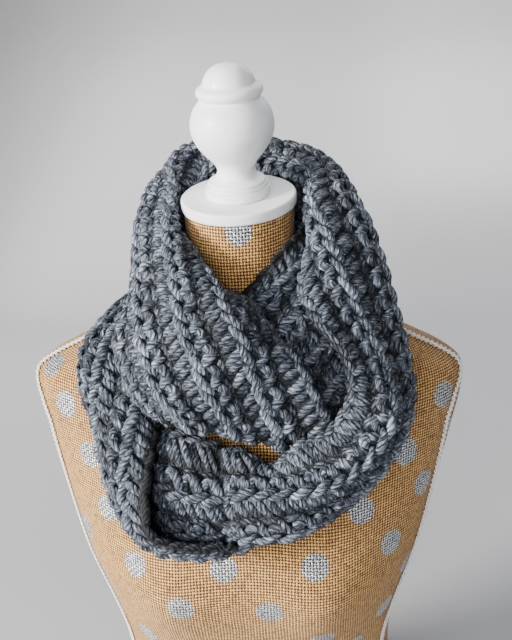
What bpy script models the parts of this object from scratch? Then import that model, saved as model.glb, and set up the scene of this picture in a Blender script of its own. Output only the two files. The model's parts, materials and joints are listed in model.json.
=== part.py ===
"""An infinity scarf in chunky crochet, wound twice round the neck of a limbless dress form.

The scarf is one loop of crochet band, eight rows wide. It is built as the seven stretches of its
two turns, each a thick ribbed wall lofted through cross sections, and the stretches meet end to
end. Units are metres, +Z is up and the front of the dress form faces -Y.
"""

import math
from collections import namedtuple

import bpy
import numpy as np
from mathutils import Matrix
from mathutils.bvhtree import BVHTree

MM = 0.001
SEAM = 0.3 * MM

# The crochet band
ROWS = 8
POINTS_PER_ROW = 3
CORE = 5.8 * MM
RIB = 3.5 * MM
LEAST_HALF_WALL = 0.7 * MM
BEND_SHARE = 0.72
SQUEEZE_ROUNDS = 30
EDGE_ROUND = 2.6 * MM
STATIONS_PER_SECTION = 2
# The band twists over at the low front, where the pocket ends. Both stretches end flat there.
TWIST_X, TWIST_Z, TWIST_SLOPE = 1 * MM, 445 * MM, -0.07
TWIST_START, TWIST_END = 0.5, 0.4

# The dress form
TORSO_POINTS = 44
BUST_FULLNESS, BUST_X, BUST_Z = 15 * MM, 74 * MM, 346 * MM
BUST_WIDE, BUST_HIGH = 44 * MM, 50 * MM
NECK_TOP = 705 * MM
NECK_RADIUS = 49 * MM
NECK_TILT, NECK_LEAN = math.radians(8.0), math.radians(-1.5)
CAP_RADIUS, CAP_THICK, CAP_EDGE = 51 * MM, 10.5 * MM, 2.2 * MM
TURN_STEPS = 32
BRAID_WIDE, BRAID_THICK, BRAID_CLEAR = 9 * MM, 2 * MM, 1.7 * MM
# The braid's way up each side, in mm: height, and how far it lies in front of the side's middle.
BRAID_PATH = [(0, 36), (500, 36), (520, 30), (546, 13), (567, 12), (577, 5), (583, 0), (650, 0)]

# One line for each cross section of the band, in the order the band runs, in mm: where the middle
# of the wall lies at its outer edge (row 0), at rows 2, 4 and 6, and at its inner edge (row 8).
Section = namedtuple("Section", "stretch outer row_2 row_4 row_6 inner")
SECTIONS = [
    Section("back_high", (103, 84, 640), (88, 69, 675), (82, 56, 713), (66, 28, 712), (66, 27, 673)),
    Section("back_high", (57, 115, 648), (52, 107, 688), (55, 90, 724), (43, 59, 719), (38, 57, 680)),
    Section("back_high", (-4, 126, 654), (-3, 124, 697), (-4, 103, 732), (1, 69, 722), (4, 66, 679)),
    Section("back_high", (-61, 113, 656), (-55, 113, 698), (-50, 90, 729), (-27, 64, 717), (-22, 64, 674)),
    Section("back_high", (-95, 82, 657), (-82, 82, 697), (-64, 60, 721), (-44, 52, 703), (-48, 52, 663)),
    Section("upper_left", (-101, 42, 657), (-83, 39, 698), (-61, 15, 704), (-65, 3, 680), (-62, 9, 644)),
    Section("upper_left", (-94, -1, 637), (-86, -17, 673), (-58, -39, 684), (-41, -48, 667), (-50, -34, 633)),
    Section("upper_left", (-93, -39, 621), (-79, -63, 646), (-48, -83, 657), (-19, -87, 651), (-20, -60, 629)),
    Section("upper_left", (-102, -74, 600), (-75, -97, 617), (-39, -111, 629), (-5, -113, 638), (7, -79, 633)),
    Section("upper_left", (-90, -99, 569), (-66, -119, 592), (-29, -124, 605), (9, -125, 617), (40, -107, 602)),
    Section("upper_left", (-75, -109, 551), (-53, -131, 570), (-18, -131, 573), (18, -122, 579), (60, -116, 574)),
    Section("upper_left", (-64, -116, 547), (-35, -137, 552), (1, -127, 537), (37, -115, 524), (79, -111, 525)),
    Section("inner_right", (-63, -106, 550), (-32, -121, 548), (6, -104, 543), (42, -93, 528), (81, -89, 531)),
    Section("inner_right", (-27, -76, 598), (-2, -103, 587), (36, -95, 587), (61, -85, 560), (97, -74, 556)),
    Section("inner_right", (7, -60, 631), (30, -74, 616), (58, -90, 608), (82, -72, 586), (113, -62, 570)),
    Section("inner_right", (42, -42, 664), (61, -30, 643), (79, -56, 632), (96, -37, 604), (125, -31, 581)),
    Section("inner_right", (58, -8, 671), (62, 8, 638), (88, -10, 623), (102, 17, 604), (134, 15, 589)),
    Section("back_low", (52, 32, 668), (50, 39, 631), (82, 40, 612), (92, 70, 592), (125, 72, 569)),
    Section("back_low", (30, 62, 667), (28, 59, 628), (51, 81, 605), (56, 108, 577), (75, 113, 542)),
    Section("back_low", (-2, 71, 665), (2, 66, 626), (4, 97, 603), (2, 119, 572), (0, 127, 533)),
    Section("back_low", (-33, 54, 655), (-31, 61, 626), (-41, 81, 604), (-54, 98, 582), (-71, 108, 554)),
    Section("back_low", (-57, 20, 640), (-62, 29, 621), (-77, 38, 610), (-92, 50, 601), (-113, 57, 586)),
    Section("left_outer", (-65, -24, 619), (-85, -19, 611), (-103, -21, 604), (-114, -12, 600), (-129, -11, 590)),
    Section("left_outer", (-69, -60, 588), (-99, -60, 591), (-130, -67, 586), (-132, -51, 586), (-134, -46, 573)),
    Section("left_outer", (-70, -88, 550), (-103, -92, 558), (-135, -81, 558), (-127, -73, 543), (-112, -70, 555)),
    Section("left_outer", (-72, -114, 526), (-108, -113, 532), (-124, -85, 517), (-107, -89, 501), (-88, -87, 533)),
    Section("left_outer", (-77, -146, 497), (-106, -128, 480), (-109, -99, 467), (-96, -95, 492), (-78, -89, 525)),
    Section("left_outer", (-71, -167, 467), (-86, -139, 448), (-86, -107, 451), (-83, -103, 488), (-72, -91, 522)),
    Section("left_outer", (-44, -165, 452), (-49, -144, 434), (-56, -139, 453), (-55, -137, 488), (-52, -106, 523)),
    Section("left_outer", (-7, -158, 447), (-3, -142, 434), (-10, -138, 446), (-12, -146, 484), (-12, -113, 514)),
    Section("front_low", (7, -115, 463), (30, -137, 452), (11, -158, 461), (3, -152, 495), (1, -114, 511)),
    Section("front_low", (35, -110, 474), (50, -126, 449), (43, -156, 463), (33, -156, 498), (28, -123, 501)),
    Section("front_low", (67, -103, 482), (80, -113, 459), (78, -139, 473), (65, -155, 503), (53, -127, 526)),
    Section("right_front", (98, -91, 503), (115, -94, 483), (114, -119, 497), (96, -147, 518), (75, -131, 540)),
    Section("right_front", (124, -74, 537), (138, -77, 522), (138, -100, 535), (122, -130, 552), (92, -129, 571)),
    Section("right_front", (143, -50, 566), (130, -62, 578), (139, -81, 574), (115, -104, 589), (87, -123, 602)),
    Section("right_front", (134, -24, 599), (121, -36, 617), (128, -58, 620), (96, -81, 625), (68, -104, 622)),
    Section("right_front", (128, 10, 615), (117, -5, 643), (115, -29, 663), (80, -54, 666), (55, -69, 643)),
    Section("right_front", (125, 47, 629), (108, 30, 662), (97, 10, 697), (64, -16, 697), (69, -24, 664)),
]

# One row for each level of the torso, in mm: its height, half its width, and how far its front
# and its back lie from the middle.
Level = namedtuple("Level", "z half_width front back")
TORSO = [
    Level(0, 172, -104, 114),
    Level(50, 172, -106, 116),
    Level(100, 165, -102, 108),
    Level(150, 152, -94, 94),
    Level(200, 142, -90, 82),
    Level(250, 141, -98, 80),
    Level(306, 150, -112, 84),
    Level(360, 163, -127, 92),
    Level(390, 172, -124, 98),
    Level(420, 180, -117, 101),
    Level(450, 188, -108, 103),
    Level(490, 198, -95, 101),
    Level(515, 203, -88, 97),
    Level(535, 204, -80, 93),
    Level(546, 198, -76, 90),
    Level(560, 175, -70, 85),
    Level(575, 140, -64, 80),
    Level(592, 95, -58, 72),
    Level(605, 64, -54, 64),
    Level(620, 52, -50, 56),
    Level(650, 48, -48, 50),
]

# The finial's outline from the tip down to the foot, in mm: height above the cap, and radius.
Turn = namedtuple("Turn", "z radius")
FINIAL = [
    Turn(112.2, 0.0),
    Turn(111.4, 7.6),
    Turn(109, 13.6),
    Turn(105, 18.0),
    Turn(100.2, 21.0),
    Turn(96.6, 22.2),
    Turn(95.3, 23.6),
    Turn(93.6, 26.4),
    Turn(90.9, 28.1),
    Turn(87.8, 27.7),
    Turn(85.7, 26.0),
    Turn(84.4, 25.3),
    Turn(81.6, 27.6),
    Turn(75.6, 32.1),
    Turn(68.4, 35.0),
    Turn(61.6, 35.8),
    Turn(54.4, 34.9),
    Turn(46.2, 31.6),
    Turn(38.2, 26.0),
    Turn(31.4, 20.0),
    Turn(26.2, 17.0),
    Turn(21.8, 16.4),
    Turn(17.8, 18.0),
    Turn(14.6, 21.8),
    Turn(13.4, 24.6),
    Turn(11.6, 26.2),
    Turn(10, 25.6),
    Turn(9.2, 27.2),
    Turn(7.6, 28.4),
    Turn(1, 28.5),
    Turn(0.4, 28.0),
    Turn(0.3, 0.0),
]

MATERIALS = {
    "yarn": ((0.105, 0.122, 0.150), 0.95, 0.0),
    "burlap": ((0.36, 0.205, 0.095), 0.9, 0.0),
    "braid": ((0.74, 0.70, 0.64), 0.85, 0.0),
    "painted_wood": ((0.82, 0.82, 0.81), 0.45, 0.0),
}


def clear_scene():
    for obj in list(bpy.data.objects):
        bpy.data.objects.remove(obj)


def new_collection(name):
    group = bpy.data.collections.new(name)
    bpy.context.scene.collection.children.link(group)
    return group


def new_material(node_name, slot):
    """Each node has its own Principled material."""
    color, roughness, metallic = MATERIALS[slot]
    material = bpy.data.materials.new(f"{slot}_{node_name}")
    material.use_nodes = True
    surface = material.node_tree.nodes["Principled BSDF"]
    surface.inputs["Base Color"].default_value = (*color, 1.0)
    surface.inputs["Roughness"].default_value = roughness
    surface.inputs["Metallic"].default_value = metallic
    material.diffuse_color = (*color, 1.0)
    return material


def new_object(name, slot, points, edges, faces):
    mesh = bpy.data.meshes.new(name)
    mesh.from_pydata([tuple(map(float, p)) for p in points], edges, faces)
    obj = bpy.data.objects.new(name, mesh)
    parts.objects.link(obj)
    mesh.materials.append(new_material(name, slot))
    return obj


def side_faces(stations, around):
    """Triangles between closed rings of equal point count. Point j of ring i is point
    i * around + j of the body."""
    faces = []
    for i in range(stations - 1):
        for j in range(around):
            k = (j + 1) % around
            a, b = i * around + j, i * around + k
            c, d = b + around, a + around
            faces += [(a, b, c), (a, c, d)]
    return faces


def flat_end(around):
    """One flat face over a ring."""
    return [tuple(range(around))]


def wall_end(around):
    """A strip over the ring of a thin wall, between its back and its face, which run from one
    edge point to the other."""
    width = around // 2 - 1
    back, face = range(1, width + 1), range(around - 1, width + 1, -1)
    strip = [(0, back[0], face[0]), (back[-1], width + 1, face[-1])]
    for j in range(width - 1):
        strip += [(back[j], back[j + 1], face[j + 1]), (back[j], face[j + 1], face[j])]
    return strip


def lofted(name, slot, rings, end):
    """A closed body through rings that run counter-clockwise seen from the last one."""
    rings = np.asarray(rings)
    stations, around = rings.shape[:2]
    over = (stations - 1) * around
    faces = side_faces(stations, around)
    faces += [tuple(reversed(face)) for face in end(around)]
    faces += [tuple(over + point for point in face) for face in end(around)]
    return new_object(name, slot, rings.reshape(-1, 3), [], faces)


def smooth(obj, degrees=40):
    for polygon in obj.data.polygons:
        polygon.use_smooth = True
    obj.data.set_sharp_from_angle(angle=math.radians(degrees))
    return obj


def unit(v):
    return v / np.maximum(np.linalg.norm(v, axis=-1, keepdims=True), 1e-9)


def spline(points, steps):
    """Catmull-Rom points through an open run, `steps` to each interval, ends included."""
    points = np.asarray(points, float)
    padded = np.concatenate([2 * points[:1] - points[1:2], points, 2 * points[-1:] - points[-2:-1]])
    out = []
    for i in range(len(points) - 1):
        p0, p1, p2, p3 = padded[i : i + 4]
        for k in range(steps):
            t = k / steps
            out.append(
                0.5
                * (
                    2 * p1
                    + (p2 - p0) * t
                    + (2 * p0 - 5 * p1 + 4 * p2 - p3) * t * t
                    + (3 * p1 - p0 - 3 * p2 + p3) * t * t * t
                )
            )
    out.append(points[-1])
    return np.array(out)


# ---- the band


def across(section):
    """The middle of the wall over one cross section, from row 0 to row 8."""
    return spline(np.array(section[1:]) * MM, 2 * POINTS_PER_ROW)


def rib_height(row, peak_rows):
    """How far a rib stands up: 1 on a peak row, 0 half way between two of them."""
    phase = np.cos(np.pi * (row - peak_rows))
    return ((1 + phase) / 2) ** 1.5


def bend_limit(middles, normal):
    """How far the wall may reach towards `normal` before neighbouring points would meet, because
    the band bends that way."""
    count, width = middles.shape[:2]
    limit = np.full((count, width), 1.0)
    for di, dj in ((1, 0), (0, 1), (1, 1), (1, -1)):
        here = (slice(0, count - di), slice(max(0, -dj), width - max(0, dj)))
        there = (slice(di, count), slice(max(0, dj), width + min(0, dj)))
        step = middles[there] - middles[here]
        closing = -((normal[there] - normal[here]) * step).sum(axis=2) / (step**2).sum(axis=2)
        room = BEND_SHARE / np.maximum(closing, 1e-3)
        limit[here] = np.minimum(limit[here], room)
        limit[there] = np.minimum(limit[there], room)
    return limit


def crossing_points(rings):
    """Marks the points of every face that passes through another face of the same wall."""
    stations, around = rings.shape[:2]
    triangles = np.array(side_faces(stations, around))
    tree = BVHTree.FromPolygons(rings.reshape(-1, 3).tolist(), triangles.tolist())
    pairs = np.array(tree.overlap(tree), int).reshape(-1, 2)
    one, other = triangles[pairs[:, 0]], triangles[pairs[:, 1]]
    apart = ~(one[:, :, None] == other[:, None, :]).any(axis=(1, 2))
    marked = np.zeros(stations * around, bool)
    marked[one[apart]] = True
    return marked.reshape(stations, around)


def band_rings(middles):
    """Closed rings round the wall at every station. One face carries ribs on the even rows and
    the other on the odd rows. In the tightest bends, where the wall would pass through itself,
    it is squeezed thinner."""
    row = np.linspace(0, ROWS, ROWS * POINTS_PER_ROW + 1)
    normal = unit(np.cross(np.gradient(middles, axis=0), np.gradient(middles, axis=1)))
    over = unit(np.gradient(middles, axis=1))
    height_face = CORE / 2 + RIB * rib_height(row, 0)
    height_back = CORE / 2 + RIB * rib_height(row, 1)
    height_face = np.minimum(height_face, bend_limit(middles, normal))
    height_back = np.minimum(height_back, bend_limit(middles, -normal))
    least = np.minimum(LEAST_HALF_WALL, np.minimum(height_face, height_back))
    width = len(row)
    for _ in range(SQUEEZE_ROUNDS):
        rings = np.concatenate(
            [
                middles[:, :1] - over[:, :1] * EDGE_ROUND,
                middles - normal * height_back[:, :, None],
                middles[:, -1:] + over[:, -1:] * EDGE_ROUND,
                (middles + normal * height_face[:, :, None])[:, ::-1],
            ],
            axis=1,
        )
        marked = crossing_points(rings)
        if not marked.any():
            break
        back, face = marked[:, 1 : width + 1], marked[:, width + 2 :][:, ::-1]
        height_back = np.maximum(np.where(back, height_back * 0.8, height_back), least)
        height_face = np.maximum(np.where(face, height_face * 0.8, height_face), least)
    return rings


def drawn_back(rings, index, direction):
    """Moves an end ring half a seam's gap back along the band."""
    along = unit(rings[index + (1 if index == 0 else -1)] - rings[index])
    rings[index] += along * SEAM / 2 * direction


def cut_flat(rings, index, side):
    """Lays an end ring in the plane of the twist, half a seam's gap to one side of it."""
    ring = rings[index]
    ring[:, 0] = TWIST_X + TWIST_SLOPE * (ring[:, 2] - TWIST_Z) + side * SEAM / 2


def extended(middles, index, share):
    """One more station past an end of the band, on the line of its last two sections."""
    if index == 0:
        return np.concatenate([middles[:1] + (middles[:1] - middles[1:2]) * share, middles])
    return np.concatenate([middles, middles[-1:] + (middles[-1:] - middles[-2:-1]) * share])


def build_scarf():
    names = [section.stretch for section in SECTIONS]
    twist = names.index("front_low")
    order = SECTIONS[twist:] + SECTIONS[:twist]
    names = names[twist:] + names[:twist]
    middles = spline(np.array([across(section) for section in order]), STATIONS_PER_SECTION)
    middles = extended(extended(middles, 0, TWIST_START), -1, TWIST_END)
    rings = band_rings(middles)
    starts = []
    for i, name in enumerate(names):
        if i == 0 or name != names[i - 1]:
            starts.append((name, 0 if i == 0 else i * STATIONS_PER_SECTION + 1))
    # Each stretch ends on the ring that the next one starts from.
    ends = [start for _, start in starts[1:]] + [len(rings) - 1]
    for (name, start), end in zip(starts, ends):
        own = rings[start : end + 1].copy()
        if start == 0:
            cut_flat(own, 0, 1)
        else:
            drawn_back(own, 0, 1)
        if end == len(rings) - 1:
            cut_flat(own, len(own) - 1, -1)
        else:
            drawn_back(own, len(own) - 1, 1)
        smooth(lofted(f"scarf_{name}", "yarn", own, wall_end), 60)


# ---- the dress form


def cap_frame():
    turn = Matrix.Rotation(NECK_TILT, 4, "X") @ Matrix.Rotation(NECK_LEAN, 4, "Y")
    return Matrix.Translation((0, 0, NECK_TOP)) @ turn


def torso_stations():
    table = spline(np.array(TORSO, float) * MM, 2)
    table[0, 0] = 0.0
    return table


def cover_points(level, angles):
    """Points of the cover at one level, at angles that start at the middle of the front."""
    z, half_width, front, back = level
    x = half_width * np.sin(angles)
    y = (front + back) / 2 - (back - front) / 2 * np.cos(angles)
    mound = np.exp(-(((np.abs(x) - BUST_X) / BUST_WIDE) ** 2) - ((z - BUST_Z) / BUST_HIGH) ** 2)
    y = y - BUST_FULLNESS * mound * (y < 0)
    return np.stack([x, y, np.full_like(x, z)], axis=1)


def build_torso():
    angles = np.arange(TORSO_POINTS) * 2 * math.pi / TORSO_POINTS
    rings = [cover_points(level, angles) for level in torso_stations()]
    frame = np.array(cap_frame())
    x, y = NECK_RADIUS * np.sin(angles), -NECK_RADIUS * np.cos(angles)
    local = np.stack([x, y, np.full_like(x, -CAP_THICK - SEAM), np.ones_like(x)], axis=1)
    rings.append((local @ frame.T)[:, :3])
    smooth(lofted("form_torso", "burlap", rings, flat_end), 50)


def braid_edges(level):
    """The braid's front and back edges on the cover at one level."""
    z, half_width, front, back = level
    depth = (back - front) / 2
    heights, forwards = np.array(BRAID_PATH, float).T * MM
    middle = math.acos(np.interp(z, heights, forwards) / depth)
    reach = BRAID_WIDE / 2 / math.hypot(half_width * math.cos(middle), depth * math.sin(middle))
    return cover_points(level, np.array([middle - reach, middle + reach]))


def build_braid(name, side):
    """A flat ribbon up one side: a strip drawn on the cover, lifted clear of it and thickened."""
    strip = np.array([braid_edges(level) for level in torso_stations()]) * [side, 1, 1]
    strip[0, :, 2] += 1 * MM
    along = np.gradient(strip.mean(axis=1), axis=0)
    outward = unit(np.cross(strip[:, 1] - strip[:, 0], along)) * side
    strip += outward[:, None] * BRAID_CLEAR
    i = np.arange(len(strip) - 1) * 2
    faces = np.stack([i, i + 1, i + 3, i + 2], axis=1)[:, ::side]
    obj = new_object(name, "braid", strip.reshape(-1, 3).tolist(), [], faces.tolist())
    thick = obj.modifiers.new("Solidify", "SOLIDIFY")
    thick.thickness = BRAID_THICK
    thick.offset = 0.0
    thick.use_even_offset = True


def turned(name, profile, place):
    """A body turned about its own Z, from a profile that runs from its top down to its foot."""
    points = [(radius * MM, 0.0, z * MM) for z, radius in profile]
    edges = [(i, i + 1) for i in range(len(points) - 1)]
    obj = new_object(name, "painted_wood", points, edges, [])
    obj.matrix_world = place
    screw = obj.modifiers.new("Screw", "SCREW")
    screw.axis = "Z"
    screw.steps = screw.render_steps = TURN_STEPS
    screw.use_merge_vertices = True
    screw.merge_threshold = 0.00001
    screw.use_smooth_shade = True
    return obj


def build_cap():
    radius, thick, edge = CAP_RADIUS / MM, CAP_THICK / MM, CAP_EDGE / MM
    corner = [(math.sin(a), math.cos(a)) for a in np.radians([0, 30, 60, 90])]
    upper = [(-edge + edge * c, radius - edge + edge * s) for s, c in corner]
    lower = [(-thick + edge - edge * s, radius - edge + edge * c) for s, c in corner]
    turned("neck_cap", [(0, 0), *upper, *lower, (-thick, 0)], cap_frame())


clear_scene()
parts = new_collection("infinity_scarf_on_dress_form")
build_scarf()
build_torso()
build_braid("side_braid_left", 1)
build_braid("side_braid_right", -1)
build_cap()
turned("finial", FINIAL, cap_frame())
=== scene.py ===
"""An infinity scarf in chunky grey crochet, wound twice round the neck of a dress form in dotted
burlap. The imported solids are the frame: the scarf's stretches are worked here stitch by stitch on
the same sections, the form gets its woven cover and its gimp braid, and the cap and finial their
white paint. Units are metres, +Z is up and the front faces -Y.
"""

import json
import math

import bpy
import numpy as np
from mathutils import Matrix, Vector
from mathutils.bvhtree import BVHTree

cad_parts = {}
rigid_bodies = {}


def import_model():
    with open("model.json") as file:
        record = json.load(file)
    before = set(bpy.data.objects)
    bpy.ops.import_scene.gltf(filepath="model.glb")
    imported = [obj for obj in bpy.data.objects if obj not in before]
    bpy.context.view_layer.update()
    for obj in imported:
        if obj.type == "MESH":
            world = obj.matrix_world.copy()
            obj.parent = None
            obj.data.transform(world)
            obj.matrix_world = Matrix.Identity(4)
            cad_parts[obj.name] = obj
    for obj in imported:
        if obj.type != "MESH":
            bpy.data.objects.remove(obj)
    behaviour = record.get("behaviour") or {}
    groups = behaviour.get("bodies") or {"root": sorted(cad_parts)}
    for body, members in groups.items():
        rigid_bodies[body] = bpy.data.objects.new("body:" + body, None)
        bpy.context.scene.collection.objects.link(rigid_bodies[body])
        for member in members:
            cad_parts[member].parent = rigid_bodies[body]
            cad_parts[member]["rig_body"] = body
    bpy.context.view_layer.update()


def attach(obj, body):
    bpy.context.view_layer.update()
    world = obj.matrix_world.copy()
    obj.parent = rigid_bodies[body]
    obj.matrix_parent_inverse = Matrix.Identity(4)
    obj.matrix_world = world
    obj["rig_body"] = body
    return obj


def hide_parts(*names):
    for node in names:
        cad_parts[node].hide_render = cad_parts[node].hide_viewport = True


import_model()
random = np.random.default_rng(11)

MM = 0.001

# ---- the band's own sizes, as in the solids
ROWS = 8
CORE = 5.8 * MM
RIB = 3.5 * MM
RIB_SHARPNESS = 1.5
LEAST_HALF_WALL = 0.7 * MM
BEND_SHARE = 0.72
SQUEEZE, SQUEEZE_ROUNDS = 0.8, 30
EDGE_ROUND = 2.6 * MM
SEAM = 0.3 * MM
# How far the cloth runs on past its first and last section, in sections, to meet at the twist
TWIST_START, TWIST_END = 0.5, 0.4

# The band's cross sections in the order the band runs, one line each, in mm: the middle of the
# cloth at its outer edge (row 0), at rows 2, 4 and 6, and at its inner edge (row 8).
SECTIONS = {
    "back_high": [
        ((103, 84, 640), (88, 69, 675), (82, 56, 713), (66, 28, 712), (66, 27, 673)),
        ((57, 115, 648), (52, 107, 688), (55, 90, 724), (43, 59, 719), (38, 57, 680)),
        ((-4, 126, 654), (-3, 124, 697), (-4, 103, 732), (1, 69, 722), (4, 66, 679)),
        ((-61, 113, 656), (-55, 113, 698), (-50, 90, 729), (-27, 64, 717), (-22, 64, 674)),
        ((-95, 82, 657), (-82, 82, 697), (-64, 60, 721), (-44, 52, 703), (-48, 52, 663)),
    ],
    "upper_left": [
        ((-101, 42, 657), (-83, 39, 698), (-61, 15, 704), (-65, 3, 680), (-62, 9, 644)),
        ((-94, -1, 637), (-86, -17, 673), (-58, -39, 684), (-41, -48, 667), (-50, -34, 633)),
        ((-93, -39, 621), (-79, -63, 646), (-48, -83, 657), (-19, -87, 651), (-20, -60, 629)),
        ((-102, -74, 600), (-75, -97, 617), (-39, -111, 629), (-5, -113, 638), (7, -79, 633)),
        ((-90, -99, 569), (-66, -119, 592), (-29, -124, 605), (9, -125, 617), (40, -107, 602)),
        ((-75, -109, 551), (-53, -131, 570), (-18, -131, 573), (18, -122, 579), (60, -116, 574)),
        ((-64, -116, 547), (-35, -137, 552), (1, -127, 537), (37, -115, 524), (79, -111, 525)),
    ],
    "inner_right": [
        ((-63, -106, 550), (-32, -121, 548), (6, -104, 543), (42, -93, 528), (81, -89, 531)),
        ((-27, -76, 598), (-2, -103, 587), (36, -95, 587), (61, -85, 560), (97, -74, 556)),
        ((7, -60, 631), (30, -74, 616), (58, -90, 608), (82, -72, 586), (113, -62, 570)),
        ((42, -42, 664), (61, -30, 643), (79, -56, 632), (96, -37, 604), (125, -31, 581)),
        ((58, -8, 671), (62, 8, 638), (88, -10, 623), (102, 17, 604), (134, 15, 589)),
    ],
    "back_low": [
        ((52, 32, 668), (50, 39, 631), (82, 40, 612), (92, 70, 592), (125, 72, 569)),
        ((30, 62, 667), (28, 59, 628), (51, 81, 605), (56, 108, 577), (75, 113, 542)),
        ((-2, 71, 665), (2, 66, 626), (4, 97, 603), (2, 119, 572), (0, 127, 533)),
        ((-33, 54, 655), (-31, 61, 626), (-41, 81, 604), (-54, 98, 582), (-71, 108, 554)),
        ((-57, 20, 640), (-62, 29, 621), (-77, 38, 610), (-92, 50, 601), (-113, 57, 586)),
    ],
    "left_outer": [
        ((-65, -24, 619), (-85, -19, 611), (-103, -21, 604), (-114, -12, 600), (-129, -11, 590)),
        ((-69, -60, 588), (-99, -60, 591), (-130, -67, 586), (-132, -51, 586), (-134, -46, 573)),
        ((-70, -88, 550), (-103, -92, 558), (-135, -81, 558), (-127, -73, 543), (-112, -70, 555)),
        ((-72, -114, 526), (-108, -113, 532), (-124, -85, 517), (-107, -89, 501), (-88, -87, 533)),
        ((-77, -146, 497), (-106, -128, 480), (-109, -99, 467), (-96, -95, 492), (-78, -89, 525)),
        ((-71, -167, 467), (-86, -139, 448), (-86, -107, 451), (-83, -103, 488), (-72, -91, 522)),
        ((-44, -165, 452), (-49, -144, 434), (-56, -139, 453), (-55, -137, 488), (-52, -106, 523)),
        ((-7, -158, 447), (-3, -142, 434), (-10, -138, 446), (-12, -146, 484), (-12, -113, 514)),
    ],
    "front_low": [
        ((7, -115, 463), (30, -137, 452), (11, -158, 461), (3, -152, 495), (1, -114, 511)),
        ((35, -110, 474), (50, -126, 449), (43, -156, 463), (33, -156, 498), (28, -123, 501)),
        ((67, -103, 482), (80, -113, 459), (78, -139, 473), (65, -155, 503), (53, -127, 526)),
    ],
    "right_front": [
        ((98, -91, 503), (115, -94, 483), (114, -119, 497), (96, -147, 518), (75, -131, 540)),
        ((124, -74, 537), (138, -77, 522), (138, -100, 535), (122, -130, 552), (92, -129, 571)),
        ((143, -50, 566), (130, -62, 578), (139, -81, 574), (115, -104, 589), (87, -123, 602)),
        ((134, -24, 599), (121, -36, 617), (128, -58, 620), (96, -81, 625), (68, -104, 622)),
        ((128, 10, 615), (117, -5, 643), (115, -29, 663), (80, -54, 666), (55, -69, 643)),
        ((125, 47, 629), (108, 30, 662), (97, 10, 697), (64, -16, 697), (69, -24, 664)),
    ],
}

# Yarn and stitches
STITCH = 16.0 * MM
YARN_RADIUS, YARN_WIDE, YARN_HIGH = 3.5 * MM, 1.10, 0.95
AROUND_YARN = ALONG_YARN = 7
GROUND_HALF, GROUND_RIB = 1.3 * MM, 1.0 * MM
# Every how many lines of the band's fine grid the cloth under the yarn takes: along, along the
# stretch that leads to the twist, and across
GROUND_STEP, GROUND_END_STEP, GROUND_ACROSS = 4, 2, 2
FLAT_WIDTH, RELAXED_WIDTH = 168 * MM, 155 * MM
FIBRES_PER_STRAND = 2.0
# How far a whole strand strays, and each of its bends: along and over the row, and in mm of height
STITCH_SWAY = [(0.035, 0.02), (0.02, 0.015), (0.22, 0.12)]
YARN_SWAY = 0.05
# Where stitches crowd the yarn is thinner, between these shares, and so it is in a tight bend
CROWD_WIDE, CROWD_LONG, CROWD_LIMITS = 1.1, 1.05, (0.62, 1.08)
YARN_IN_BEND = 0.45
POLE_REACH = 0.6
# A strand's tone: a share by chance, and a painted highlight on the links and lobes that stand
# highest
CHANCE_TONE, HIGH_PAINTED_LIGHT, HIGH_FROM = 0.8, 0.2, 4.4
PATTERN_SHIFT = 40
# The fibres: how far round from a strand's top they start and how far out in it, their lengths and
# radii in mm, how far the first half leans towards a chance direction, how much of its own way and
# how much of that one the second half takes, and how thick they still are half way
FIBRE_TURN, FIBRE_ROOT = 1.3, 0.9
FIBRE_LENGTHS, FIBRE_RADII = (2.0, 6.5), (0.05, 0.09)
FIBRE_LEAN, FIBRE_BENT, FIBRE_TAPER = 0.5, (0.25, 0.9), 0.8

# How one strand of a stitch runs: along the row in stitches, over the rows in rows from its
# ridge, how high its middle lies above the middle of the cloth in mm, and its share of the
# yarn's full thickness.
LINK = [
    (-0.26, -0.19, 1.4, 0.70),
    (0.04, -0.18, 4.3, 1.00),
    (0.46, -0.03, 5.5, 1.12),
    (0.90, 0.14, 4.3, 1.00),
    (1.20, 0.19, 1.2, 0.70),
]
EDGE_LINK = [
    (-0.26, -0.13, 0.2, 0.75),
    (0.04, -0.14, 1.5, 1.00),
    (0.46, -0.02, 2.2, 1.10),
    (0.90, 0.10, 1.4, 1.00),
    (1.20, 0.14, 0.0, 0.75),
]
FRONT_LEG = [
    (-0.02, -0.06, 1.6, 0.85),
    (0.18, -0.30, 3.5, 1.04),
    (0.42, -0.58, 3.3, 1.06),
    (0.64, -0.86, 0.9, 0.92),
    (0.78, -1.02, -1.2, 0.75),
]
REAR_LEG = [
    (0.44, -0.08, 0.8, 0.80),
    (0.60, -0.30, 2.2, 0.98),
    (0.78, -0.55, 2.2, 1.02),
    (0.98, -0.80, 0.8, 0.92),
    (1.10, -0.98, -0.8, 0.70),
]
UNDER_LEG = [
    (-0.36, -0.14, -0.4, 0.80),
    (-0.22, -0.38, 0.6, 0.96),
    (-0.04, -0.62, 0.5, 0.96),
    (0.14, -0.84, -0.4, 0.86),
    (0.26, -1.00, -1.6, 0.70),
]
UPPER_LOBE = [
    (-0.12, 0.20, -1.0, 0.75),
    (-0.06, 0.46, 2.2, 1.02),
    (0.16, 0.70, 4.0, 1.10),
    (0.42, 0.58, 3.2, 1.02),
    (0.52, 0.30, -0.4, 0.78),
]
LOWER_LOBE = [
    (0.32, 0.92, -1.0, 0.75),
    (0.44, 0.74, 2.2, 1.00),
    (0.62, 0.50, 4.0, 1.12),
    (0.82, 0.28, 2.4, 1.00),
    (0.92, 0.12, -0.8, 0.78),
]
UNDER_LOBE = [
    (-0.34, 0.82, -1.2, 0.80),
    (-0.14, 0.90, 0.4, 0.96),
    (0.10, 0.93, 0.8, 0.98),
    (0.34, 0.91, 0.2, 0.92),
    (0.52, 0.98, -1.4, 0.75),
]

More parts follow.
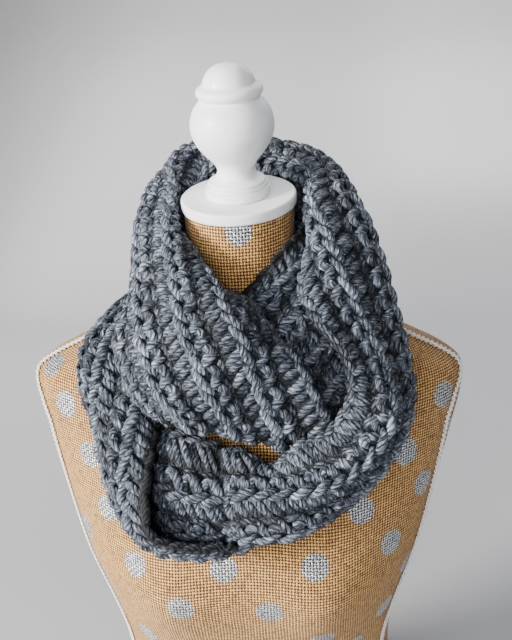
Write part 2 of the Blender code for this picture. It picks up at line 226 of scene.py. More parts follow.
# ---- the dress form, as in the solids
BUST_FULLNESS, BUST_X, BUST_Z = 15 * MM, 74 * MM, 346 * MM
BUST_WIDE, BUST_HIGH = 44 * MM, 50 * MM
NECK_TOP, NECK_RADIUS = 705 * MM, 49 * MM
NECK_FROM = 600 * MM
NECK_TILT, NECK_LEAN = math.radians(8.0), math.radians(-1.5)
CAP_RADIUS, CAP_THICK, CAP_EDGE = 51 * MM, 10.5 * MM, 2.2 * MM
TURNED_AROUND, CORNER_STEPS, FINIAL_STEPS = 96, 7, 4
TORSO_AROUND, TORSO_STEPS, NECK_RINGS = 240, 8, 4
SHARP_COVER, SHARP_TURNING = math.radians(50), math.radians(40)
# The form's levels in mm: height, half width, front and back
TORSO = [
    (0, 172, -104, 114), (50, 172, -106, 116), (100, 165, -102, 108), (150, 152, -94, 94),
    (200, 142, -90, 82), (250, 141, -98, 80), (306, 150, -112, 84), (360, 163, -127, 92),
    (390, 172, -124, 98), (420, 180, -117, 101), (450, 188, -108, 103), (490, 198, -95, 101),
    (515, 203, -88, 97), (535, 204, -80, 93), (546, 198, -76, 90), (560, 175, -70, 85),
    (575, 140, -64, 80), (592, 95, -58, 72), (605, 64, -54, 64), (620, 52, -50, 56),
    (650, 48, -48, 50),
]

# The finial's outline from the tip down to the foot, in mm, as in the solids but with the foot's
# fine grooves: height above the cap, and radius.
FINIAL = [
    (112.2, 0), (111.4, 7.6), (109, 13.6), (105, 18), (100.2, 21), (96.6, 22.2), (95.3, 23.6),
    (93.6, 26.4), (90.9, 28.1), (87.8, 27.7), (85.7, 26), (84.4, 25.3), (81.6, 27.6),
    (75.6, 32.1), (68.4, 35), (61.6, 35.8), (54.4, 34.9), (46.2, 31.6), (38.2, 26), (31.4, 20),
    (26.2, 17), (21.8, 16.4), (17.8, 18), (14.6, 21.8), (13.9, 23.9), (13.2, 24.8), (12.2, 25.2),
    (11.5, 25.2), (11.2, 24.9), (10.9, 26.2), (10, 26.8), (8.9, 27), (8.2, 26.9), (7.9, 26.7),
    (7.6, 28), (6.6, 28.45), (1.2, 28.5), (0.5, 28.2), (0.35, 27.8), (0.3, 0),
]
FOOT_POINTS = 17
CRACK_RADIUS = 28.6

# The printed dots: how far round the cover from its middle and up it from the base each of the
# front ones lies, in mm, and the staggered repeat that carries them on over the rest.
FRONT_DOTS = [
    (-104, 401), (-18, 406), (62, 408), (142, 406), (-59, 370), (20, 361), (111, 352), (145, 309),
    (-22, 313), (68, 310), (-108, 289), (-130, 445), (105, 452), (177, 454), (-50, 450),
    (28, 450), (-147, 494), (-70, 494), (0, 494), (75, 495), (149, 495), (-170, 537), (-95, 525),
    (35, 520), (113, 530), (191, 536), (-194, 570),
]
DOT_RADIUS = 12.7 * MM
DOT_ACROSS, DOT_UP = 80 * MM, 43.7 * MM
DOT_START = 22 * MM, 361.5 * MM
DOT_LEVELS, DOT_COLUMNS = range(-8, 7), range(-4, 5)
# Where the table takes the repeat's place, and the least room a repeated dot keeps from it
TABLE_HEIGHTS, TABLE_REACH, DOTS_APART = (280 * MM, 570 * MM), 150 * MM, 42 * MM
NEAR_ENOUGH = 3 * MM
NECK_DOTS_AT, NECK_DOTS_UP = (-3, 87, 177, 267), 683.5 * MM
WEAVE = 2.8

# The gimp braid up each side seam, and its way up the side in mm: height, and how far it lies in
# front of the side's middle.
BRAID_HALF, BRAID_CORD, BRAID_CLEAR = 4.5 * MM, 0.60 * MM, 1.7 * MM
BRAID_PATH = [(0, 36), (500, 36), (520, 30), (546, 13), (567, 12), (577, 5), (583, 0), (650, 0)]
# Its loops: in mm, then as shares of the pitch and of the braid's half width.
LOOP_PITCH, LOOP_RISE, MIDDLE_RISE = 4.6 * MM, 0.45 * MM, 0.5 * MM
LOOP_STEPS, LOOP_START, LOOP_SWING = 10, 0.7, 0.42
LOOP_OUT, LOOP_WIDE, LOOP_LEAD = 0.48, 0.40, 0.6
MIDDLE_CORD, CORD_AROUND = 1.2, 5

# ---- the room, its lamps (name, place, size, watts and colour) and the camera
FLOOR_FROM, WALL_AT, WALL_HEIGHT, ROOM_HALF = -3.4, 2.0, 3.0, 4.0
ROOM_BEND, ROOM_BEND_STEPS = 0.6, 13
LAMP_TARGET = 0.0, 0.0, 0.5
LAMPS = [
    ("window", (-2.50, -1.50, 1.40), 0.9, 330, (1.0, 0.985, 0.96)),
    ("room", (-0.40, -2.60, 1.50), 1.9, 76, (0.97, 0.98, 1.0)),
    ("behind", (0.60, 1.45, 1.90), 1.5, 26, (0.97, 0.98, 1.0)),
]
SKY_COLOR, SKY_STRENGTH = (0.80, 0.86, 0.95, 1.0), 0.13
CAMERA_PLACE, CAMERA_ANGLES = (0.0593, -0.6914, 0.8647), (4.0, 22.0, 2.4)
CAMERA_LENS, CAMERA_SENSOR, CAMERA_CLIP = 45.0, 36.0, (0.01, 20.0)


# ---- meshes


def new_piece(name, points, quads=(), triangles=()):
    """A mesh object at the origin, from arrays of points and of faces with four and three
    corners. Its faces are smooth."""
    points = np.asarray(points, np.float32).reshape(-1, 3)
    quads = np.asarray(quads, np.int32).reshape(-1, 4)
    triangles = np.asarray(triangles, np.int32).reshape(-1, 3)
    mesh = bpy.data.meshes.new(name)
    mesh.vertices.add(len(points))
    mesh.vertices.foreach_set("co", points.ravel())
    mesh.loops.add(quads.size + triangles.size)
    mesh.loops.foreach_set("vertex_index", np.concatenate([quads.ravel(), triangles.ravel()]))
    mesh.polygons.add(len(quads) + len(triangles))
    starts = [np.arange(len(quads)) * 4, quads.size + np.arange(len(triangles)) * 3]
    starts = np.concatenate(starts).astype(np.int32)
    mesh.polygons.foreach_set("loop_start", starts)
    mesh.polygons.foreach_set("use_smooth", np.ones(len(starts), bool))
    mesh.update(calc_edges=True)
    obj = bpy.data.objects.new(name, mesh)
    bpy.context.scene.collection.objects.link(obj)
    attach(obj, "root")
    return obj


def give_uv(obj, corners):
    """The UV map, from one pair of numbers for each corner of each face, in order."""
    layer = obj.data.uv_layers.new(name="UVMap")
    layer.data.foreach_set("uv", np.asarray(corners, np.float32).ravel())


def give_value(obj, name, values):
    """A number for each point, which a material reads by its name."""
    attribute = obj.data.attributes.new(name, "FLOAT", "POINT")
    attribute.data.foreach_set("value", np.asarray(values, np.float32).ravel())


def unit(v):
    """Directions of length 1."""
    return v / np.maximum(np.linalg.norm(v, axis=-1, keepdims=True), 1e-9)


def spline(points, steps):
    """Catmull-Rom points through an open run along the first axis, its last point included."""
    points = np.asarray(points, float)
    padded = np.concatenate([2 * points[:1] - points[1:2], points, 2 * points[-1:] - points[-2:-1]])
    p0, p1, p2, p3 = (padded[k : k + len(points) - 1, None] for k in range(4))
    t = (np.arange(steps) / steps).reshape((1, -1) + (1,) * (points.ndim - 1))
    body = 2 * p1 + (p2 - p0) * t + (2 * p0 - 5 * p1 + 4 * p2 - p3) * t**2
    body = 0.5 * (body + (3 * p1 - p0 - 3 * p2 + p3) * t**3)
    return np.concatenate([body.reshape((-1,) + points.shape[1:]), points[-1:]])


def curve_through(bends, steps):
    """Catmull-Rom points through the second axis of an array of runs."""
    return spline(np.swapaxes(bends, 0, 1), steps).swapaxes(0, 1)


def travelled(points, axis=0):
    """How far each point lies from the first one, measured along one axis of the array."""
    steps = np.linalg.norm(np.diff(points, axis=axis), axis=-1).cumsum(axis=axis)
    return np.concatenate([np.zeros_like(np.take(steps, [0], axis)), steps], axis=axis)


def facing(surface):
    """A surface's normals, from its grid of points."""
    return unit(np.cross(np.gradient(surface, axis=0), np.gradient(surface, axis=1)))


def ring_faces(stations, around):
    """Faces between rings of `around` points that follow each other."""
    i, j = np.meshgrid(np.arange(stations - 1), np.arange(around), indexing="ij")
    k = (j + 1) % around
    a, b = i * around + j, i * around + k
    return np.stack([a, b, b + around, a + around], axis=-1).reshape(-1, 4)


def pole_faces(stations, around):
    """Triangles from the first ring and from the last one to two poles, numbered after them."""
    j = np.arange(around)
    k = (j + 1) % around
    count = stations * around
    last = count - around
    first_fan = np.stack([np.full_like(j, count), j, k], axis=1)
    last_fan = np.stack([np.full_like(j, count + 1), last + k, last + j], axis=1)
    return np.concatenate([first_fan, last_fan])


def tubes(middles, sideways, radii, around, wide=1.0, high=1.0):
    """Closed strands, all of one layout: a ring round every middle point, square to the strand
    and oval where `wide` and `high` differ, from one pole to the other. Returns points, quads,
    triangles and the corners' UV, whose first number goes once round and whose second is the
    length in mm from the strand's start."""
    count, stations = middles.shape[:2]
    along = unit(np.gradient(middles, axis=1))
    side = unit(np.cross(along, sideways))
    rise = np.cross(side, along)
    turn = np.arange(around) * 2 * math.pi / around
    ring = (wide * np.cos(turn))[:, None] * side[:, :, None]
    ring = ring + (high * np.sin(turn))[:, None] * rise[:, :, None]
    rings = middles[:, :, None] + ring * radii[:, :, None, None]
    head = middles[:, :1] - along[:, :1] * radii[:, :1, None] * POLE_REACH
    tail = middles[:, -1:] + along[:, -1:] * radii[:, -1:, None] * POLE_REACH
    points = np.concatenate([rings.reshape(count, -1, 3), head, tail], axis=1)
    first = np.arange(count)[:, None, None] * points.shape[1]
    quads = (ring_faces(stations, around)[:, [0, 3, 2, 1]] + first).reshape(-1, 4)
    caps = (pole_faces(stations, around) + first).reshape(-1, 3)
    length = travelled(middles, 1) / MM
    u = np.broadcast_to(np.arange(around + 1) / around, (count, stations, around + 1))
    uv = np.stack([u, np.broadcast_to(length[:, :, None], u.shape)], axis=-1)
    quad_uv = np.stack([uv[:, :-1, :-1], uv[:, 1:, :-1], uv[:, 1:, 1:], uv[:, :-1, 1:]], axis=3)
    head_uv = np.stack([uv[:, 0, :-1], uv[:, 0, :-1], uv[:, 0, 1:]], axis=2)
    tail_uv = np.stack([uv[:, -1, :-1], uv[:, -1, 1:], uv[:, -1, :-1]], axis=2)
    cap_uv = np.concatenate([head_uv, tail_uv], axis=1)
    corners = np.concatenate([quad_uv.reshape(-1, 2), cap_uv.reshape(-1, 2)])
    return points.reshape(-1, 3), quads, caps, corners


# ---- the band's surface


def rib_height(row, peak_rows):
    """How far a rib stands up: 1 on a peak row, 0 half way between two of them."""
    phase = np.cos(np.pi * (row - peak_rows))
    return ((1 + phase) / 2) ** RIB_SHARPNESS


def bend_limit(middles, normal):
    """How far the cloth may reach towards `normal` before neighbouring points would meet."""
    count, width = middles.shape[:2]
    limit = np.full((count, width), 1.0)
    for di, dj in ((1, 0), (0, 1), (1, 1), (1, -1)):
        here = (slice(0, count - di), slice(max(0, -dj), width - max(0, dj)))
        there = (slice(di, count), slice(max(0, dj), width + min(0, dj)))
        step = middles[there] - middles[here]
        closing = -((normal[there] - normal[here]) * step).sum(axis=2) / (step**2).sum(axis=2)
        room = BEND_SHARE / np.maximum(closing, 1e-3)
        limit[here] = np.minimum(limit[here], room)
        limit[there] = np.minimum(limit[there], room)
    return limit


def closed_rings(middles, normal, height_back, height_face, edge):
    """Rings round the cloth: its outer edge, its back, its inner edge and its face."""
    over = unit(np.gradient(middles, axis=1))
    return np.concatenate(
        [
            middles[:, :1] - over[:, :1] * edge,
            middles - normal * height_back[:, :, None],
            middles[:, -1:] + over[:, -1:] * edge,
            (middles + normal * height_face[:, :, None])[:, ::-1],
        ],
        axis=1,
    )


def crossing_points(rings):
    """Marks the points of every face that passes through another face of the same cloth."""
    stations, around = rings.shape[:2]
    quads = ring_faces(stations, around)
    triangles = np.concatenate([quads[:, [0, 1, 2]], quads[:, [0, 2, 3]]])
    tree = BVHTree.FromPolygons(rings.reshape(-1, 3).tolist(), triangles.tolist())
    pairs = np.array(tree.overlap(tree), int).reshape(-1, 2)
    one, other = triangles[pairs[:, 0]], triangles[pairs[:, 1]]
    apart = ~(one[:, :, None] == other[:, None, :]).any(axis=(1, 2))
    marked = np.zeros(stations * around, bool)
    marked[one[apart]] = True
    return marked.reshape(stations, around)


def room_left(middles, row):
    """How much of its full height the cloth keeps on its back and on its face: less than 1 only
    in the tightest bends, where it is squeezed."""
    normal = facing(middles)
    full_face = CORE / 2 + RIB * rib_height(row, 0)
    full_back = CORE / 2 + RIB * rib_height(row, 1)
    face = np.minimum(full_face, bend_limit(middles, normal))
    back = np.minimum(full_back, bend_limit(middles, -normal))
    least = np.minimum(LEAST_HALF_WALL, np.minimum(face, back))
    width = len(row)
    for _ in range(SQUEEZE_ROUNDS):
        marked = crossing_points(closed_rings(middles, normal, back, face, EDGE_ROUND))
        if not marked.any():
            break
        on_back, on_face = marked[:, 1 : width + 1], marked[:, width + 2 :][:, ::-1]
        back = np.maximum(np.where(on_back, back * SQUEEZE, back), least)
        face = np.maximum(np.where(on_face, face * SQUEEZE, face), least)
    return back / full_back, face / full_face


class Band:
    """The loop's surface, once round from the twist at the low front. A place on it is a section
    number and a row number; sections -1 to 0 lead out of the last section through the twist.
    Face +1 has its ridges on the even rows, face -1 on the odd ones."""

    PER_SECTION, PER_ROW = 16, 8
    ROOM_PER_SECTION, ROOM_PER_ROW = 2, 3

    def __init__(self):
        names = list(SECTIONS)
        twist = names.index("front_low")
        names = names[twist:] + names[:twist]
        ends = np.cumsum([0] + [len(SECTIONS[name]) for name in names])
        self.stretches = dict(zip(names, zip(ends[:-1].tolist(), ends[1:].tolist())))
        self.sections = int(ends[-1])
        table = np.array([section for name in names for section in SECTIONS[name]], float) * MM
        self.first = self.PER_SECTION
        through = self.grid(table[[-2, -1, 0, 1]], self.PER_SECTION, self.PER_ROW)[0]
        lead = round(self.PER_SECTION / 2 * TWIST_START) + self.first
        loop, start = self.grid(table, self.PER_SECTION, self.PER_ROW)
        self.middles = np.concatenate([through[lead : lead + self.first], loop[start:]])
        self.normals = facing(self.middles)
        coarse, coarse_first = self.grid(table, self.ROOM_PER_SECTION, self.ROOM_PER_ROW)
        back, face = room_left(coarse, np.linspace(0, ROWS, ROWS * self.ROOM_PER_ROW + 1))
        self.room = {1: self.softened(face), -1: self.softened(back)}
        self.room_first = coarse_first
        steps = np.linalg.norm(np.diff(self.middles, axis=0), axis=2).mean(axis=1)
        self.run = np.concatenate([[0], steps.cumsum()])
        self.stitches = round(self.run[-1] / STITCH)
        self.pitch = self.run[-1] / self.stitches

    @staticmethod
    def grid(table, per_section, per_row):
        """The middles of the cloth, and where section 0 lies among them. Past both ends the cloth
        runs straight on to the twist."""
        middles = spline(curve_through(table, 2 * per_row), per_section)
        half = per_section // 2
        before = max(1, round(half * TWIST_START))
        after = max(1, round(half * TWIST_END))
        steps = (np.arange(before, 0, -1) * TWIST_START / before)[:, None, None]
        head = middles[:1] + (middles[:1] - middles[half : half + 1]) * steps
        steps = (np.arange(1, after + 1) * TWIST_END / after)[:, None, None]
        tail = middles[-1:] + (middles[-1:] - middles[-1 - half : -half]) * steps
        return np.concatenate([head, middles, tail]), before

    @staticmethod
    def softened(room):
        """Each value made the mean of itself and its neighbours, so no strand drops suddenly."""
        padded = np.pad(room, 1, mode="edge")
        total = sum(
            padded[i : i + room.shape[0], j : j + room.shape[1]] for i in range(3) for j in range(3)
        )
        return total / 9

    @staticmethod
    def look_up(grid, i, j):
        """Values between a grid's points, mixed from the four nearest."""
        i = np.clip(i, 0, grid.shape[0] - 1.001)
        j = np.clip(j, 0, grid.shape[1] - 1.001)
        i0, j0 = i.astype(int), j.astype(int)
        a, b = i - i0, j - j0
        if grid.ndim == 3:
            a, b = a[..., None], b[..., None]
        near = grid[i0, j0] * (1 - b) + grid[i0, j0 + 1] * b
        far = grid[i0 + 1, j0] * (1 - b) + grid[i0 + 1, j0 + 1] * b
        return near * (1 - a) + far * a

    def station(self, stitch):
        """Which line of the fine grid a stitch number falls on."""
        return np.interp(stitch * self.pitch, self.run, np.arange(len(self.run)))

    def section_of(self, stitch):
        """Which section a stitch number falls on, with its fraction."""
        return (self.station(stitch) - self.first) / self.PER_SECTION

    def place(self, stitch, row, rise, face):
        """Points `rise` above the middle of the cloth on one face, and that face's normals. Past
        the cloth's edges they lie straight on from it."""
        i = self.station(stitch)
        inside = np.clip(row, 0, ROWS)
        j = inside * self.PER_ROW
        middle = self.look_up(self.middles, i, j)
        normal = unit(self.look_up(self.normals, i, j)) * face
        beyond = (row - inside)[..., None] * self.over_step(i, j)
        room = self.room_at(i, inside, face)
        return middle + beyond + normal * (rise * room)[..., None], normal

    def over_step(self, i, j):
        """From one row to the next, at a place of the fine grid."""
        span = self.PER_ROW // 2
        j = np.clip(j - span / 2, 0, ROWS * self.PER_ROW - span)
        low, high = self.look_up(self.middles, i, j), self.look_up(self.middles, i, j + span)
        return (high - low) * self.PER_ROW / span

    def room_at(self, i, row, face):
        """The share of its full height that the cloth keeps at a place of the fine grid."""
        at = (i - self.first) / self.PER_SECTION * self.ROOM_PER_SECTION + self.room_first
        return self.look_up(self.room[face], at, row * self.ROOM_PER_ROW)

    def crowding(self, stitch, row):
        """How wide and how long a stitch is here, against its full size."""
        i = self.station(stitch)
        j = np.clip(row, 0, ROWS) * self.PER_ROW
        wide = np.linalg.norm(self.over_step(i, j), axis=-1) / (FLAT_WIDTH / ROWS)
        step = self.look_up(self.middles, i + 1, j) - self.look_up(self.middles, i - 1, j)
        numbers = np.arange(len(self.run))
        usual = np.interp(i + 1, numbers, self.run) - np.interp(i - 1, numbers, self.run)
        return wide, np.linalg.norm(step, axis=-1) / np.maximum(usual, 1e-6)


# ---- the scarf


def strand_rows(face):
    """Every kind of strand on one face and the rows it is worked on. Chain links lie on the
    ridges, legs come down from each ridge towards the row before it, and lobes stand on the
    side of the row after it."""
    ridges = np.arange(0 if face > 0 else 1, ROWS + 1, 2)
    with_legs, with_lobes = ridges[ridges > 0], ridges[ridges < ROWS]
    links = [
        (LINK, ridges[(ridges > 0) & (ridges < ROWS)]),
        (EDGE_LINK, ridges[(ridges == 0) | (ridges == ROWS)]),
    ]
    legs = [(kind, with_legs) for kind in (FRONT_LEG, REAR_LEG, UNDER_LEG)]
    return links + legs + [(kind, with_lobes) for kind in (UPPER_LOBE, LOWER_LOBE, UNDER_LOBE)]


def strands(band, numbers, face):
    """The middles, sideways directions, radii and heights over the middle of the cloth, in mm, of
    every strand of these stitches on one face: its kind's bends, swayed by chance and smoothed,
    moved on to its stitch and row. Every second ridge is worked half a stitch on."""
    middles, sideways, radii, heights = [], [], [], []
    for bends, rows in strand_rows(face):
        bends = np.array(bends)
        stitch, row = (grid.ravel() for grid in np.meshgrid(numbers, rows, indexing="ij"))
        count = len(stitch)
        if not count:
            continue
        runs = np.broadcast_to(bends, (count, *bends.shape)).copy()
        for axis, (strand_sway, bend_sway) in enumerate(STITCH_SWAY):
            sway = random.normal(0, strand_sway, (count, 1))
            runs[:, :, axis] += sway + random.normal(0, bend_sway, runs.shape[:2])
        runs[:, :, 3] *= random.normal(1, YARN_SWAY, (count, 1))
        runs = curve_through(runs, 2)
        runs = runs[:, np.linspace(0, runs.shape[1] - 1, ALONG_YARN).round().astype(int)]
        at_stitch = runs[:, :, 0] + stitch[:, None] + 0.5 * (row[:, None] % 4 >= 2)
        at_row = runs[:, :, 1] + row[:, None]
        points, normals = band.place(at_stitch, at_row, runs[:, :, 2] * MM, face)
        wide, long = band.crowding(at_stitch, at_row)
        crowd = np.sqrt(np.minimum(wide * CROWD_WIDE, long * CROWD_LONG)).clip(*CROWD_LIMITS)
        room = band.room_at(band.station(at_stitch), np.clip(at_row, 0, ROWS), face)
        middles.append(points)
        sideways.append(normals)
        thick = YARN_RADIUS * runs[:, :, 3] * crowd
        radii.append(thick * (YARN_IN_BEND + (1 - YARN_IN_BEND) * room))
        heights.append(runs[:, :, 2] * room)
    return [np.concatenate(parts) for parts in (middles, sideways, radii, heights)]


def work_yarn(band, stretch, numbers):
    """One stretch's yarn, and the short fibres that stand off it. Each point of the yarn keeps its
    height in mm over the middle of the cloth, which the finish reads for painted shade, and each
    strand a tone of its own, lighter as a painted highlight where the strand stands highest."""
    both = [strands(band, numbers, face) for face in (1, -1)]
    middles, sideways, radii, heights = (np.concatenate(parts) for parts in zip(*both))
    points, quads, caps, uv = tubes(middles, sideways, radii, AROUND_YARN, YARN_WIDE, YARN_HIGH)
    yarn = new_piece(f"yarn_{stretch}", points, quads, caps)
    each = middles.shape[1] * AROUND_YARN + 2
    high = heights.max(axis=1) > HIGH_FROM
    # painted highlight: the strands that stand highest are given a lighter tone
    tone = CHANCE_TONE * random.random(len(middles)) + HIGH_PAINTED_LIGHT * high
    give_value(yarn, "tone", np.repeat(tone, each))
    skin = points.reshape(len(middles), each, 3)[:, :-2]
    skin = skin.reshape(*middles.shape[:2], AROUND_YARN, 3) - middles[:, :, None]
    over = (skin * sideways[:, :, None]).sum(axis=3) / MM + heights[:, :, None]
    over = np.concatenate([over.reshape(len(middles), -1), heights[:, :1], heights[:, -1:]], axis=1)
    give_value(yarn, "over_cloth", over)
    corners = (middles.shape[1] - 1) * AROUND_YARN * 4, AROUND_YARN * 6
    shifts = [np.repeat(random.random(len(middles)) * PATTERN_SHIFT, each) for each in corners]
    uv[:, 1] += np.concatenate(shifts)
    give_uv(yarn, uv)
    fuzz = work_fuzz(stretch, middles, sideways, radii)
    return yarn, fuzz


def work_fuzz(stretch, middles, sideways, radii):
    """Fine fibres: three-sided needles that leave a strand square to it, each in two lengths, the
    second bent over towards a chance direction."""
    count = int(len(middles) * FIBRES_PER_STRAND)
    which = random.integers(0, len(middles), count)
    where = random.integers(1, middles.shape[1] - 1, count)
    root = middles[which, where]
    outward = sideways[which, where]
    along = unit(middles[which, where + 1] - middles[which, where - 1])
    side = unit(np.cross(along, outward))
    turn = random.uniform(-FIBRE_TURN, FIBRE_TURN, (count, 1))
    away = np.cos(turn) * outward + np.sin(turn) * side
    root = root + away * radii[which, where][:, None] * FIBRE_ROOT
    lean = unit(random.normal(0, 1, (count, 3)))
    length = random.uniform(*FIBRE_LENGTHS, (count, 1)) * MM
    middle = root + (away + lean * FIBRE_LEAN) * length / 2
    tip = middle + (away * FIBRE_BENT[0] + lean * FIBRE_BENT[1]) * length / 2
    a = unit(np.cross(away, lean))
    b = unit(np.cross(a, away))
    turns = np.arange(3) * 2 * math.pi / 3
    ring = np.cos(turns)[:, None] * a[:, None] + np.sin(turns)[:, None] * b[:, None]
    thick = random.uniform(*FIBRE_RADII, (count, 1, 1)) * MM
    low = root[:, None] + ring * thick
    mid = middle[:, None] + ring * thick * FIBRE_TAPER
    points = np.concatenate([low, mid, tip[:, None]], axis=1)
    first = np.arange(count)[:, None, None] * points.shape[1]
    quads = np.array([[0, 1, 4, 3], [1, 2, 5, 4], [2, 0, 3, 5]])[None] + first
    ends = np.array([[0, 2, 1], [3, 4, 6], [4, 5, 6], [5, 3, 6]])[None] + first
    return new_piece(f"fuzz_{stretch}", points, quads, ends)


def work_ground(band, stretch, first, last):
    """The cloth under the stitches' raised strands: a thin ribbed shell on the stretch's own
    solid, closed at its edges and ends. Near black, it stands for the painted shade between the
    strands."""
    start = band.first + first * band.PER_SECTION
    stop = band.first + last * band.PER_SECTION + 1
    lines = slice(start, stop, GROUND_STEP)
    if last == band.sections:
        lines = slice(start, stop - band.PER_SECTION + GROUND_END_STEP, GROUND_END_STEP)
    middles = band.middles[lines, ::GROUND_ACROSS]
    normals = band.normals[lines, ::GROUND_ACROSS]
    row = np.linspace(0, ROWS, middles.shape[1])
    at = np.arange(len(band.middles))[lines].astype(float)
    i, j = np.meshgrid(at, row, indexing="ij")
    face = (GROUND_HALF + GROUND_RIB * rib_height(row, 0)) * band.room_at(i, j, 1)
    back = (GROUND_HALF + GROUND_RIB * rib_height(row, 1)) * band.room_at(i, j, -1)
    rings = closed_rings(middles, normals, back, face, GROUND_HALF)
    stations, around = rings.shape[:2]
    quads = ring_faces(stations, around)
    width = around // 2 - 1
    lower = np.arange(1, width + 1)
    upper = np.arange(around - 1, width + 1, -1)
    strip = np.stack([lower[:-1], lower[1:], upper[1:], upper[:-1]], axis=1)
    ends = np.array([[0, lower[0], upper[0]], [lower[-1], width + 1, upper[-1]]])
    over = (stations - 1) * around
    quads = np.concatenate([quads, strip[:, ::-1], strip + over])
    ends = np.concatenate([ends[:, ::-1], ends + over])
    return new_piece(f"cloth_{stretch}", rings, quads, ends)


def build_scarf():
    """Every stretch: its cloth, its yarn and its fibres. The solid that they stand for is left
    out of view."""
    band = Band()
    numbers = np.arange(band.stitches + 1)
    sections = band.section_of(numbers + 0.5)
    made = []
    for stretch, (first, last) in band.stretches.items():
        own = numbers[(sections >= first) & (sections < min(last, band.sections - 1))]
        if first == 0:
            own = numbers[sections < last]
        cloth = work_ground(band, stretch, first, last)
        yarn, fuzz = work_yarn(band, stretch, own)
        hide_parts(f"scarf_{stretch}")
        made.append((cloth, yarn, fuzz))
    return made


# ---- the dress form


def cap_frame():
    """The neck's axis: where the top of the neck is and how it leans."""
    turn = Matrix.Rotation(NECK_TILT, 4, "X") @ Matrix.Rotation(NECK_LEAN, 4, "Y")
    return Matrix.Translation((0, 0, NECK_TOP)) @ turn


def torso_levels():
    """The table's levels, with more of them worked out between."""
    levels = spline(np.array(TORSO, float) * MM, TORSO_STEPS)
    levels[0, 0] = 0.0
    return levels


def cover_points(level, angles):
    """Points of the cover at one level, at angles that start at the middle of the front: an oval
    with its front and back half as deep as the level says, fuller over the bust."""
    z, half_width, front, back = level
    x = half_width * np.sin(angles)
    y = (front + back) / 2 - (back - front) / 2 * np.cos(angles)
    mound = np.exp(-(((np.abs(x) - BUST_X) / BUST_WIDE) ** 2) - ((z - BUST_Z) / BUST_HIGH) ** 2)
    y = y - BUST_FULLNESS * mound * (y < 0)
    return np.stack([x, y, np.full_like(x, z)], axis=1)


def torso_points(angles):
    """The cover's rings: one at every level, and a last round one under the cap."""
    rings = [cover_points(level, angles) for level in torso_levels()]
    place = np.array(cap_frame())
    x, y = NECK_RADIUS * np.sin(angles), -NECK_RADIUS * np.cos(angles)
    top = np.stack([x, y, np.full_like(x, -CAP_THICK - SEAM), np.ones_like(x)], axis=1) @ place.T
    shares = np.arange(1, NECK_RINGS + 1) / NECK_RINGS
    return np.array(rings + [rings[-1] * (1 - share) + top[:, :3] * share for share in shares])


def cover_halves(around):
    """For the cover's front half and then its back half: its columns, and how far each of its
    points lies from its own middle line, measured round the cover."""
    quarter = TORSO_AROUND // 4
    parts = [slice(2 * quarter * half, 2 * quarter * (half + 1) + 1) for half in (0, 1)]
    return [(part, around[:, part] - around[:, part][:, quarter : quarter + 1]) for part in parts]


def build_torso():
    """The woven cover as one closed skin. Its UV map counts the cloth's own threads in mm: round
    from the middle of the front or of the back, and up from the base; the neck's own piece is cut
    level."""
    angles = np.arange(-TORSO_AROUND // 4, TORSO_AROUND * 3 // 4) * 2 * math.pi / TORSO_AROUND
    rings = torso_points(angles)
    levels = len(rings)
    closed = np.concatenate([rings, rings[:, :1]], axis=1)
    around, up = travelled(closed, 1), travelled(closed)
    quarter = TORSO_AROUND // 4
    level = np.broadcast_to(up[:, quarter : quarter + 1], up.shape)
    neck = int((rings[:, 0, 2] < NECK_FROM).sum())
    corners = []
    for upward in (up, level):
        halves = []
        for part, across in cover_halves(around):
            uv = np.stack([across, upward[:, part]], axis=-1)
            near = [uv[:-1, :-1], uv[:-1, 1:], uv[1:, 1:], uv[1:, :-1]]
            halves.append(np.stack(near, axis=2))
        corners.append(np.concatenate(halves, axis=1))
    corners = np.concatenate([corners[0][:neck], corners[1][neck:]]).reshape(-1, 2)
    poles = np.array([rings[0].mean(axis=0), rings[-1].mean(axis=0)])
    points = np.concatenate([rings.reshape(-1, 3), poles])
    fans = pole_faces(levels, TORSO_AROUND)[:, [0, 2, 1]]
    cover = new_piece("cover", points, ring_faces(levels, TORSO_AROUND), fans)
    give_uv(cover, np.concatenate([corners, points[fans.ravel(), :2]]) / MM)
    give_value(cover, "dot_distance", dot_distance(points, closed, around, up) / MM)
    cover.data.set_sharp_from_angle(angle=SHARP_COVER)
    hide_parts("form_torso")
    return cover


def dot_distance(points, closed, around, up):
    """How far each point is from the middle of the nearest printed dot. The front dots stand where
    the table puts them, and the repeat carries them on elsewhere."""
    table = np.array(FRONT_DOTS, float) * MM
    m, k = np.meshgrid(DOT_LEVELS, DOT_COLUMNS, indexing="ij")
    across = DOT_START[0] + (k + 0.5 * (m % 2)) * DOT_ACROSS
    repeat = np.stack([across, DOT_START[1] + m * DOT_UP], axis=-1).reshape(-1, 2)
    apart = np.linalg.norm(repeat[:, None] - table[None], axis=2).min(axis=1)
    low, high = TABLE_HEIGHTS
    charted = (repeat[:, 1] > low) & (repeat[:, 1] < high) & (np.abs(repeat[:, 0]) < TABLE_REACH)
    front = np.concatenate([table, repeat[(apart > DOTS_APART) & ~charted]])
    cloth = slice(0, len(closed) - NECK_RINGS)
    centres = []
    for wanted, (part, own) in zip((front, repeat), cover_halves(around)):
        for place in wanted:
            off = np.hypot(own[cloth] - place[0], up[cloth, part] - place[1])
            i, j = np.unravel_index(off.argmin(), off.shape)
            if off[i, j] < NEAR_ENOUGH:
                centres.append(closed[cloth, part][i, j])
    for turn in np.radians(NECK_DOTS_AT):
        x, y = NECK_RADIUS * math.sin(-turn), -NECK_RADIUS * math.cos(turn)
        centres.append(np.array([x, y, NECK_DOTS_UP]))
    away = np.full(len(points), 1.0)
    for centre in centres:
        away = np.minimum(away, np.linalg.norm(points - centre, axis=1))
    return away


